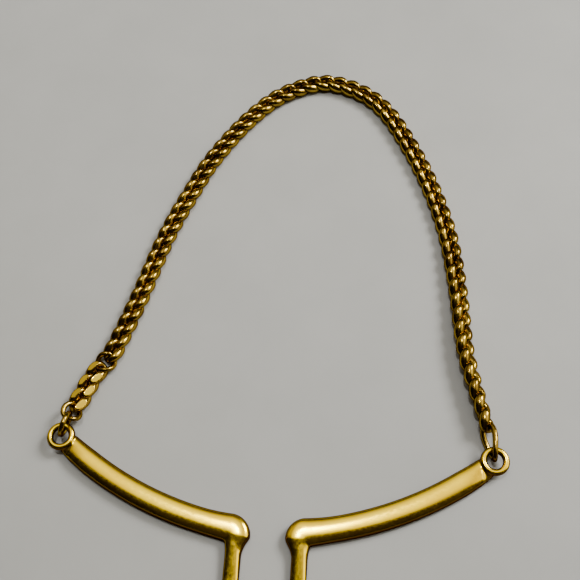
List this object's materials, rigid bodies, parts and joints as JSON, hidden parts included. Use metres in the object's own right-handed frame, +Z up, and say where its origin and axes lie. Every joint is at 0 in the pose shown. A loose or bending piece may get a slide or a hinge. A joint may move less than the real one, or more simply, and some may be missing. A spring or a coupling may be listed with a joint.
{
  "type": "chain strap",
  "caption": "Curb chain strap whose two ends hang in the eyes of a two-armed bar with a closed button loop between its stems.",
  "frame": {"origin": "centre of the button loop's closed end, on the bar's flat back", "axes": "+Y from the closed end towards the chain, +Z up out of the bar's domed face, +X towards the right eye"},
  "size_m": [0.0596, 0.0964, 0.0035],
  "materials": {
    "bar_gold": "polished",
    "chain_gold": "polished",
    "cut_gold": "polished"
  },
  "bodies": {
    "bar": {"button_loop_bar": "bar_gold"},
    "jump_ring": {"jump_ring": "chain_gold"},
    "connector_ring": {"connector_ring": "chain_gold"},
    "cut_link_1": {"cut_link_1": "cut_gold"},
    "cut_link_2": {"cut_link_2": "cut_gold"},
    "cut_link_3": {"cut_link_3": "cut_gold"},
    "round_link": {"round_link": "chain_gold"},
    "link_01": {"link_01": "chain_gold"},
    "link_02": {"link_02": "chain_gold"},
    "link_03": {"link_03": "chain_gold"},
    "link_04": {"link_04": "chain_gold"},
    "link_05": {"link_05": "chain_gold"},
    "link_06": {"link_06": "chain_gold"},
    "link_07": {"link_07": "chain_gold"},
    "link_08": {"link_08": "chain_gold"},
    "link_09": {"link_09": "chain_gold"},
    "link_10": {"link_10": "chain_gold"},
    "link_11": {"link_11": "chain_gold"},
    "link_12": {"link_12": "chain_gold"},
    "link_13": {"link_13": "chain_gold"},
    "link_14": {"link_14": "chain_gold"},
    "link_15": {"link_15": "chain_gold"},
    "link_16": {"link_16": "chain_gold"},
    "link_17": {"link_17": "chain_gold"},
    "link_18": {"link_18": "chain_gold"},
    "link_19": {"link_19": "chain_gold"},
    "link_20": {"link_20": "chain_gold"},
    "link_21": {"link_21": "chain_gold"},
    "link_22": {"link_22": "chain_gold"},
    "link_23": {"link_23": "chain_gold"},
    "link_24": {"link_24": "chain_gold"},
    "links_25_26": {"links_25_26": "chain_gold"},
    "links_27_28": {"links_27_28": "chain_gold"},
    "links_29_30": {"links_29_30": "chain_gold"},
    "links_31_32": {"links_31_32": "chain_gold"},
    "links_33_34": {"links_33_34": "chain_gold"},
    "links_35_36": {"links_35_36": "chain_gold"},
    "link_37": {"link_37": "chain_gold"},
    "link_38": {"link_38": "chain_gold"},
    "link_39": {"link_39": "chain_gold"},
    "link_40": {"link_40": "chain_gold"},
    "link_41": {"link_41": "chain_gold"},
    "link_42": {"link_42": "chain_gold"},
    "link_43": {"link_43": "chain_gold"},
    "link_44": {"link_44": "chain_gold"},
    "link_45": {"link_45": "chain_gold"},
    "link_46": {"link_46": "chain_gold"},
    "link_47": {"link_47": "chain_gold"},
    "link_48": {"link_48": "chain_gold"},
    "link_49": {"link_49": "chain_gold"},
    "link_50": {"link_50": "chain_gold"},
    "link_51": {"link_51": "chain_gold"},
    "link_52": {"link_52": "chain_gold"},
    "link_53": {"link_53": "chain_gold"},
    "link_54": {"link_54": "chain_gold"},
    "link_55": {"link_55": "chain_gold"},
    "link_56": {"link_56": "chain_gold"},
    "link_57": {"link_57": "chain_gold"},
    "link_58": {"link_58": "chain_gold"},
    "end_link": {"end_link": "chain_gold"}
  },
  "joints": [
    {"name": "chain_lift", "type": "hinge", "parent": "bar", "child": "jump_ring", "pos_m": [-0.028, 0.03138, 0.00135], "axis": [1, 0, 0], "range_deg": [0, 70]},
    {"name": "chain_sway", "type": "hinge", "parent": "jump_ring", "child": "connector_ring", "pos_m": [-0.02737, 0.03262, 0.00179], "axis": [0, 0, 1], "range_deg": [-2, 2]},
    {"name": "chain_spread", "type": "hinge", "parent": "connector_ring", "child": "cut_link_1", "pos_m": [-0.02698, 0.03414, 0.00094], "axis": [0, 0, 1], "range_deg": [-2.7, 2.7]},
    {"name": "turn_cut_link_2", "type": "hinge", "parent": "cut_link_1", "child": "cut_link_2", "pos_m": [-0.02624, 0.03612, 0.00077], "axis": [0, 0, 1], "range_deg": [-0.73, 0.73]},
    {"name": "turn_cut_link_3", "type": "hinge", "parent": "cut_link_2", "child": "cut_link_3", "pos_m": [-0.02558, 0.03813, 0.00077], "axis": [0, 0, 1], "range_deg": [-0.7, 0.7]},
    {"name": "turn_round_link", "type": "hinge", "parent": "cut_link_3", "child": "round_link", "pos_m": [-0.02457, 0.03999, 0.00077], "axis": [0, 0, 1], "range_deg": [-0.59, 0.59]},
    {"name": "turn_link_01", "type": "hinge", "parent": "round_link", "child": "link_01", "pos_m": [-0.02351, 0.04139, 0.00077], "axis": [0, 0, 1], "range_deg": [-0.305, 0.305]},
    {"name": "turn_link_02", "type": "hinge", "parent": "link_01", "child": "link_02", "pos_m": [-0.02284, 0.0434, 0.00077], "axis": [0, 0, 1], "range_deg": [-0.51, 0.51]},
    {"name": "turn_link_03", "type": "hinge", "parent": "link_02", "child": "link_03", "pos_m": [-0.02224, 0.04543, 0.00077], "axis": [0, 0, 1], "range_deg": [-0.2102, 0.2102]},
    {"name": "turn_link_04", "type": "hinge", "parent": "link_03", "child": "link_04", "pos_m": [-0.02165, 0.04746, 0.00077], "axis": [0, 0, 1], "range_deg": [-0.304, 0.304]},
    {"name": "turn_link_05", "type": "hinge", "parent": "link_04", "child": "link_05", "pos_m": [-0.02109, 0.0495, 0.00077], "axis": [0, 0, 1], "range_deg": [-0.72, 0.72]},
    {"name": "turn_link_06", "type": "hinge", "parent": "link_05", "child": "link_06", "pos_m": [-0.02054, 0.05154, 0.00077], "axis": [0, 0, 1], "range_deg": [-0.0814, 0.0814]},
    {"name": "turn_link_07", "type": "hinge", "parent": "link_06", "child": "link_07", "pos_m": [-0.02004, 0.0536, 0.00077], "axis": [0, 0, 1], "range_deg": [-1.24, 1.24]},
    {"name": "turn_link_08", "type": "hinge", "parent": "link_07", "child": "link_08", "pos_m": [-0.01957, 0.05566, 0.00077], "axis": [0, 0, 1], "range_deg": [-0.1702, 0.1702]},
    {"name": "turn_link_09", "type": "hinge", "parent": "link_08", "child": "link_09", "pos_m": [-0.01906, 0.05771, 0.00077], "axis": [0, 0, 1], "range_deg": [-1.76, 1.76]},
    {"name": "turn_link_10", "type": "hinge", "parent": "link_09", "child": "link_10", "pos_m": [-0.01853, 0.05976, 0.00077], "axis": [0, 0, 1], "range_deg": [-0.4034, 0.4034]},
    {"name": "turn_link_11", "type": "hinge", "parent": "link_10", "child": "link_11", "pos_m": [-0.01792, 0.06179, 0.00077], "axis": [0, 0, 1], "range_deg": [-1.37, 1.37]},
    {"name": "turn_link_12", "type": "hinge", "parent": "link_11", "child": "link_12", "pos_m": [-0.01726, 0.06379, 0.00077], "axis": [0, 0, 1], "range_deg": [-0.6, 0.6]},
    {"name": "turn_link_13", "type": "hinge", "parent": "link_12", "child": "link_13", "pos_m": [-0.01654, 0.06578, 0.00077], "axis": [0, 0, 1], "range_deg": [-0.98, 0.98]},
    {"name": "turn_link_14", "type": "hinge", "parent": "link_13", "child": "link_14", "pos_m": [-0.01576, 0.06775, 0.00077], "axis": [0, 0, 1], "range_deg": [-0.76, 0.76]},
    {"name": "turn_link_15", "type": "hinge", "parent": "link_14", "child": "link_15", "pos_m": [-0.01498, 0.06971, 0.00077], "axis": [0, 0, 1], "range_deg": [-0.6, 0.6]},
    {"name": "turn_link_16", "type": "hinge", "parent": "link_15", "child": "link_16", "pos_m": [-0.01422, 0.07169, 0.00077], "axis": [0, 0, 1], "range_deg": [-0.91, 0.91]},
    {"name": "turn_link_17", "type": "hinge", "parent": "link_16", "child": "link_17", "pos_m": [-0.01337, 0.07363, 0.00077], "axis": [0, 0, 1], "range_deg": [-0.2141, 0.2141]},
    {"name": "turn_link_18", "type": "hinge", "parent": "link_17", "child": "link_18", "pos_m": [-0.01237, 0.07549, 0.00077], "axis": [0, 0, 1], "range_deg": [-1.01, 1.01]},
    {"name": "turn_link_19", "type": "hinge", "parent": "link_18", "child": "link_19", "pos_m": [-0.01131, 0.07732, 0.00077], "axis": [0, 0, 1], "range_deg": [-0.16, 0.16]},
    {"name": "turn_link_20", "type": "hinge", "parent": "link_19", "child": "link_20", "pos_m": [-0.01021, 0.07913, 0.00077], "axis": [0, 0, 1], "range_deg": [-1.06, 1.06]},
    {"name": "turn_link_21", "type": "hinge", "parent": "link_20", "child": "link_21", "pos_m": [-0.00903, 0.08088, 0.00077], "axis": [0, 0, 1], "range_deg": [-0.52, 0.52]},
    {"name": "turn_link_22", "type": "hinge", "parent": "link_21", "child": "link_22", "pos_m": [-0.00777, 0.08258, 0.00077], "axis": [0, 0, 1], "range_deg": [-1.05, 1.05]},
    {"name": "turn_link_23", "type": "hinge", "parent": "link_22", "child": "link_23", "pos_m": [-0.00641, 0.0842, 0.00077], "axis": [0, 0, 1], "range_deg": [-0.85, 0.85]},
    {"name": "turn_link_24", "type": "hinge", "parent": "link_23", "child": "link_24", "pos_m": [-0.00497, 0.08575, 0.00077], "axis": [0, 0, 1], "range_deg": [-0.97, 0.97]},
    {"name": "turn_links_25_26", "type": "hinge", "parent": "link_24", "child": "links_25_26", "pos_m": [-0.00336, 0.08711, 0.00077], "axis": [0, 0, 1], "range_deg": [-1.16, 1.16]},
    {"name": "turn_links_27_28", "type": "hinge", "parent": "links_25_26", "child": "links_27_28", "pos_m": [0.00035, 0.08912, 0.00077], "axis": [0, 0, 1], "range_deg": [-0.57, 0.57]},
    {"name": "turn_links_29_30", "type": "hinge", "parent": "links_27_28", "child": "links_29_30", "pos_m": [0.00445, 0.08994, 0.00077], "axis": [0, 0, 1], "range_deg": [-1.5, 1.5]},
    {"name": "turn_links_31_32", "type": "hinge", "parent": "links_29_30", "child": "links_31_32", "pos_m": [0.00847, 0.08869, 0.00077], "axis": [0, 0, 1], "range_deg": [-0.3697, 0.3697]},
    {"name": "turn_links_33_34", "type": "hinge", "parent": "links_31_32", "child": "links_33_34", "pos_m": [0.01195, 0.08631, 0.00077], "axis": [0, 0, 1], "range_deg": [-1.23, 1.23]},
    {"name": "turn_links_35_36", "type": "hinge", "parent": "links_33_34", "child": "links_35_36", "pos_m": [0.01453, 0.08297, 0.00077], "axis": [0, 0, 1], "range_deg": [-0.88, 0.88]},
    {"name": "turn_link_37", "type": "hinge", "parent": "links_35_36", "child": "link_37", "pos_m": [0.01656, 0.07926, 0.00077], "axis": [0, 0, 1], "range_deg": [-0.62, 0.62]},
    {"name": "turn_link_38", "type": "hinge", "parent": "link_37", "child": "link_38", "pos_m": [0.0175, 0.07737, 0.00077], "axis": [0, 0, 1], "range_deg": [-0.99, 0.99]},
    {"name": "turn_link_39", "type": "hinge", "parent": "link_38", "child": "link_39", "pos_m": [0.01839, 0.07545, 0.00077], "axis": [0, 0, 1], "range_deg": [-0.2829, 0.2829]},
    {"name": "turn_link_40", "type": "hinge", "parent": "link_39", "child": "link_40", "pos_m": [0.01923, 0.07351, 0.00077], "axis": [0, 0, 1], "range_deg": [-1.03, 1.03]},
    {"name": "turn_link_41", "type": "hinge", "parent": "link_40", "child": "link_41", "pos_m": [0.02, 0.07154, 0.00077], "axis": [0, 0, 1], "range_deg": [-0.075, 0.075]},
    {"name": "turn_link_42", "type": "hinge", "parent": "link_41", "child": "link_42", "pos_m": [0.02071, 0.06955, 0.00077], "axis": [0, 0, 1], "range_deg": [-1.02, 1.02]},
    {"name": "turn_link_43", "type": "hinge", "parent": "link_42", "child": "link_43", "pos_m": [0.02137, 0.06754, 0.00077], "axis": [0, 0, 1], "range_deg": [-0.4357, 0.4357]},
    {"name": "turn_link_44", "type": "hinge", "parent": "link_43", "child": "link_44", "pos_m": [0.02199, 0.06552, 0.00077], "axis": [0, 0, 1], "range_deg": [-0.99, 0.99]},
    {"name": "turn_link_45", "type": "hinge", "parent": "link_44", "child": "link_45", "pos_m": [0.0225, 0.06346, 0.00077], "axis": [0, 0, 1], "range_deg": [-0.81, 0.81]},
    {"name": "turn_link_46", "type": "hinge", "parent": "link_45", "child": "link_46", "pos_m": [0.02291, 0.06139, 0.00084], "axis": [0, 0, 1], "range_deg": [-0.9, 0.9]},
    {"name": "turn_link_47", "type": "hinge", "parent": "link_46", "child": "link_47", "pos_m": [0.02325, 0.0593, 0.00091], "axis": [0, 0, 1], "range_deg": [-1.19, 1.19]},
    {"name": "turn_link_48", "type": "hinge", "parent": "link_47", "child": "link_48", "pos_m": [0.02353, 0.05721, 0.00098], "axis": [0, 0, 1], "range_deg": [-0.77, 0.77]},
    {"name": "turn_link_49", "type": "hinge", "parent": "link_48", "child": "link_49", "pos_m": [0.02377, 0.0551, 0.00104], "axis": [0, 0, 1], "range_deg": [-1.27, 1.27]},
    {"name": "turn_link_50", "type": "hinge", "parent": "link_49", "child": "link_50", "pos_m": [0.02398, 0.053, 0.0011], "axis": [0, 0, 1], "range_deg": [-0.62, 0.62]},
    {"name": "turn_link_51", "type": "hinge", "parent": "link_50", "child": "link_51", "pos_m": [0.02416, 0.05089, 0.00116], "axis": [0, 0, 1], "range_deg": [-1.06, 1.06]},
    {"name": "turn_link_52", "type": "hinge", "parent": "link_51", "child": "link_52", "pos_m": [0.0243, 0.04878, 0.00121], "axis": [0, 0, 1], "range_deg": [-0.4528, 0.4528]},
    {"name": "turn_link_53", "type": "hinge", "parent": "link_52", "child": "link_53", "pos_m": [0.02447, 0.04667, 0.00126], "axis": [0, 0, 1], "range_deg": [-0.85, 0.85]},
    {"name": "turn_link_54", "type": "hinge", "parent": "link_53", "child": "link_54", "pos_m": [0.0247, 0.04457, 0.0013], "axis": [0, 0, 1], "range_deg": [-0.2953, 0.2953]},
    {"name": "turn_link_55", "type": "hinge", "parent": "link_54", "child": "link_55", "pos_m": [0.02511, 0.0425, 0.00133], "axis": [0, 0, 1], "range_deg": [-0.64, 0.64]},
    {"name": "turn_link_56", "type": "hinge", "parent": "link_55", "child": "link_56", "pos_m": [0.02562, 0.04045, 0.00136], "axis": [0, 0, 1], "range_deg": [-0.2092, 0.2092]},
    {"name": "turn_link_57", "type": "hinge", "parent": "link_56", "child": "link_57", "pos_m": [0.02616, 0.0384, 0.00138], "axis": [0, 0, 1], "range_deg": [-0.4268, 0.4268]},
    {"name": "turn_link_58", "type": "hinge", "parent": "link_57", "child": "link_58", "pos_m": [0.02671, 0.03636, 0.00141], "axis": [0, 0, 1], "range_deg": [-0.3277, 0.3277]},
    {"name": "turn_end_link", "type": "hinge", "parent": "link_58", "child": "end_link", "pos_m": [0.0272, 0.0343, 0.00141], "axis": [0, 0, 1], "range_deg": [-0.4768, 0.4768]}
  ],
  "couplings": [
    {"joint": "turn_cut_link_2", "follows": "chain_sway", "ratio": 0.36058},
    {"joint": "turn_cut_link_3", "follows": "chain_spread", "ratio": 0.2593},
    {"joint": "turn_round_link", "follows": "chain_sway", "ratio": 0.29544},
    {"joint": "turn_link_01", "follows": "chain_spread", "ratio": 0.11149},
    {"joint": "turn_link_02", "follows": "chain_sway", "ratio": 0.25546},
    {"joint": "turn_link_03", "follows": "chain_spread", "ratio": -0.07637},
    {"joint": "turn_link_04", "follows": "chain_sway", "ratio": 0.14999},
    {"joint": "turn_link_05", "follows": "chain_spread", "ratio": -0.26623},
    {"joint": "turn_link_06", "follows": "chain_sway", "ratio": 0.03869},
    {"joint": "turn_link_07", "follows": "chain_spread", "ratio": -0.45768},
    {"joint": "turn_link_08", "follows": "chain_sway", "ratio": -0.08309},
    {"joint": "turn_link_09", "follows": "chain_spread", "ratio": -0.65036},
    {"joint": "turn_link_10", "follows": "chain_sway", "ratio": -0.19971},
    {"joint": "turn_link_11", "follows": "chain_spread", "ratio": -0.50499},
    {"joint": "turn_link_12", "follows": "chain_sway", "ratio": -0.29863},
    {"joint": "turn_link_13", "follows": "chain_spread", "ratio": -0.36134},
    {"joint": "turn_link_14", "follows": "chain_sway", "ratio": -0.37865},
    {"joint": "turn_link_15", "follows": "chain_spread", "ratio": -0.21932},
    {"joint": "turn_link_16", "follows": "chain_sway", "ratio": -0.45515},
    {"joint": "turn_link_17", "follows": "chain_spread", "ratio": -0.07783},
    {"joint": "turn_link_18", "follows": "chain_sway", "ratio": -0.50537},
    {"joint": "turn_link_19", "follows": "chain_spread", "ratio": 0.05778},
    {"joint": "turn_link_20", "follows": "chain_sway", "ratio": -0.52722},
    {"joint": "turn_link_21", "follows": "chain_spread", "ratio": 0.18974},
    {"joint": "turn_link_22", "follows": "chain_sway", "ratio": -0.52273},
    {"joint": "turn_link_23", "follows": "chain_spread", "ratio": 0.31441},
    {"joint": "turn_link_24", "follows": "chain_sway", "ratio": -0.48141},
    {"joint": "turn_links_25_26", "follows": "chain_spread", "ratio": 0.42655},
    {"joint": "turn_links_27_28", "follows": "chain_sway", "ratio": -0.28334},
    {"joint": "turn_links_29_30", "follows": "chain_spread", "ratio": 0.55368},
    {"joint": "turn_links_31_32", "follows": "chain_sway", "ratio": 0.18283},
    {"joint": "turn_links_33_34", "follows": "chain_spread", "ratio": 0.45577},
    {"joint": "turn_links_35_36", "follows": "chain_sway", "ratio": 0.43832},
    {"joint": "turn_link_37", "follows": "chain_spread", "ratio": 0.22847},
    {"joint": "turn_link_38", "follows": "chain_sway", "ratio": 0.49373},
    {"joint": "turn_link_39", "follows": "chain_spread", "ratio": 0.10328},
    {"joint": "turn_link_40", "follows": "chain_sway", "ratio": 0.51069},
    {"joint": "turn_link_41", "follows": "chain_spread", "ratio": -0.0263},
    {"joint": "turn_link_42", "follows": "chain_sway", "ratio": 0.50912},
    {"joint": "turn_link_43", "follows": "chain_spread", "ratio": -0.15988},
    {"joint": "turn_link_44", "follows": "chain_sway", "ratio": 0.49188},
    {"joint": "turn_link_45", "follows": "chain_spread", "ratio": -0.29693},
    {"joint": "turn_link_46", "follows": "chain_sway", "ratio": 0.44928},
    {"joint": "turn_link_47", "follows": "chain_spread", "ratio": -0.43836},
    {"joint": "turn_link_48", "follows": "chain_sway", "ratio": 0.38506},
    {"joint": "turn_link_49", "follows": "chain_spread", "ratio": -0.47072},
    {"joint": "turn_link_50", "follows": "chain_sway", "ratio": 0.30937},
    {"joint": "turn_link_51", "follows": "chain_spread", "ratio": -0.39232},
    {"joint": "turn_link_52", "follows": "chain_sway", "ratio": 0.22441},
    {"joint": "turn_link_53", "follows": "chain_spread", "ratio": -0.31407},
    {"joint": "turn_link_54", "follows": "chain_sway", "ratio": 0.14565},
    {"joint": "turn_link_55", "follows": "chain_spread", "ratio": -0.23537},
    {"joint": "turn_link_56", "follows": "chain_sway", "ratio": 0.10259},
    {"joint": "turn_link_57", "follows": "chain_spread", "ratio": -0.1566},
    {"joint": "turn_link_58", "follows": "chain_sway", "ratio": 0.16185},
    {"joint": "turn_end_link", "follows": "chain_spread", "ratio": -0.17512}
  ]
}
